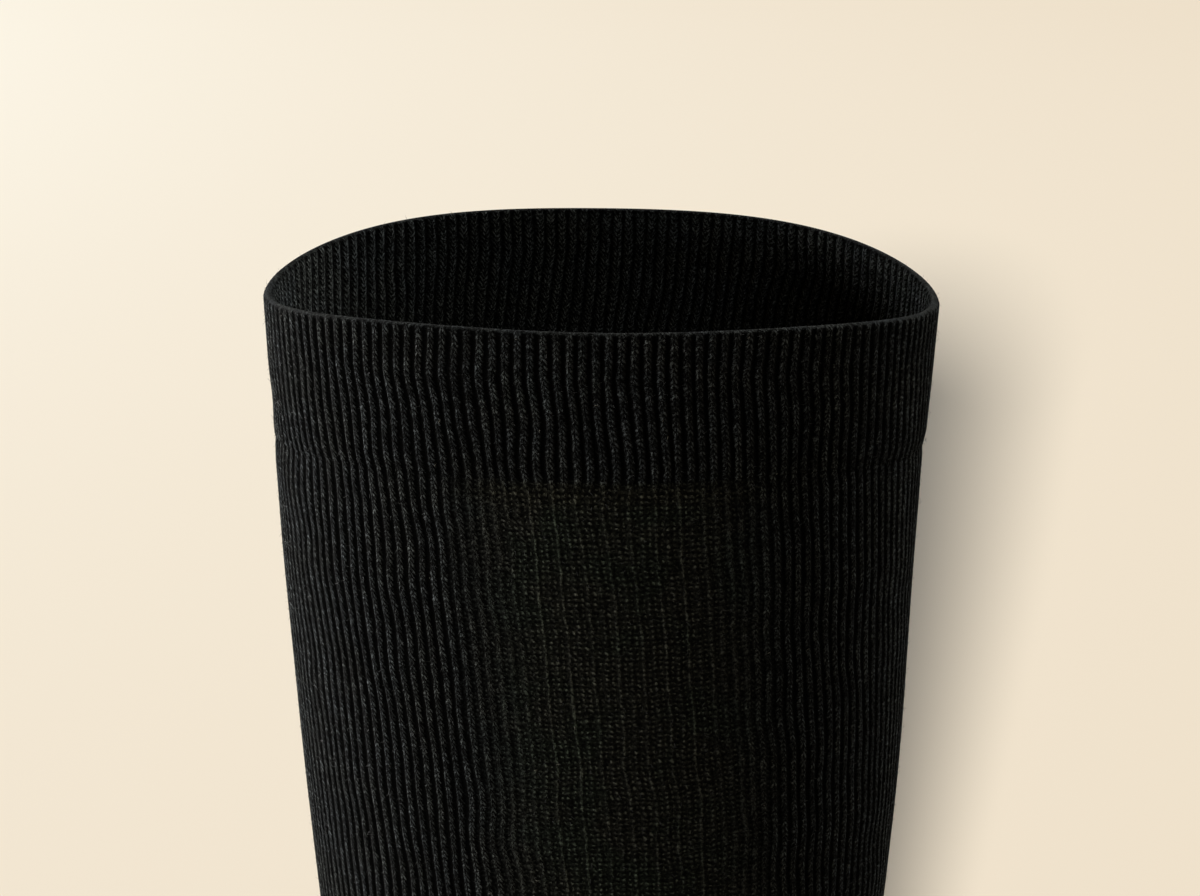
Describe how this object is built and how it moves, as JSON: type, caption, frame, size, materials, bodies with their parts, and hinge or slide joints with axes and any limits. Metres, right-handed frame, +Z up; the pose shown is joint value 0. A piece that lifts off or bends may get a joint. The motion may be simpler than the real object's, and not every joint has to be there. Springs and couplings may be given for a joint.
{
  "type": "compression stocking",
  "caption": "Knee-high ribbed knit stocking, filled out as worn with nobody in it, with an open turned top band, short-row heel and closed toe.",
  "frame": {"origin": "middle of the leg opening, at the height of the rim's front and back", "axes": "+Z up the leg, out of the opening; the toes point along -Y and +X is across the leg"},
  "size_m": [0.1198, 0.246, 0.4323],
  "materials": {
    "band_knit": "black ribbed welt, matt cotton and elastic, double layer",
    "leg_knit": "black fine ribbed knit, matt, slightly fuzzy",
    "pocket_knit": "black plain knit, reinforced and matt"
  },
  "bodies": {
    "root": {"top_band": "band_knit", "leg": "leg_knit", "heel": "pocket_knit", "foot": "leg_knit", "toe": "pocket_knit"}
  },
  "joints": []
}
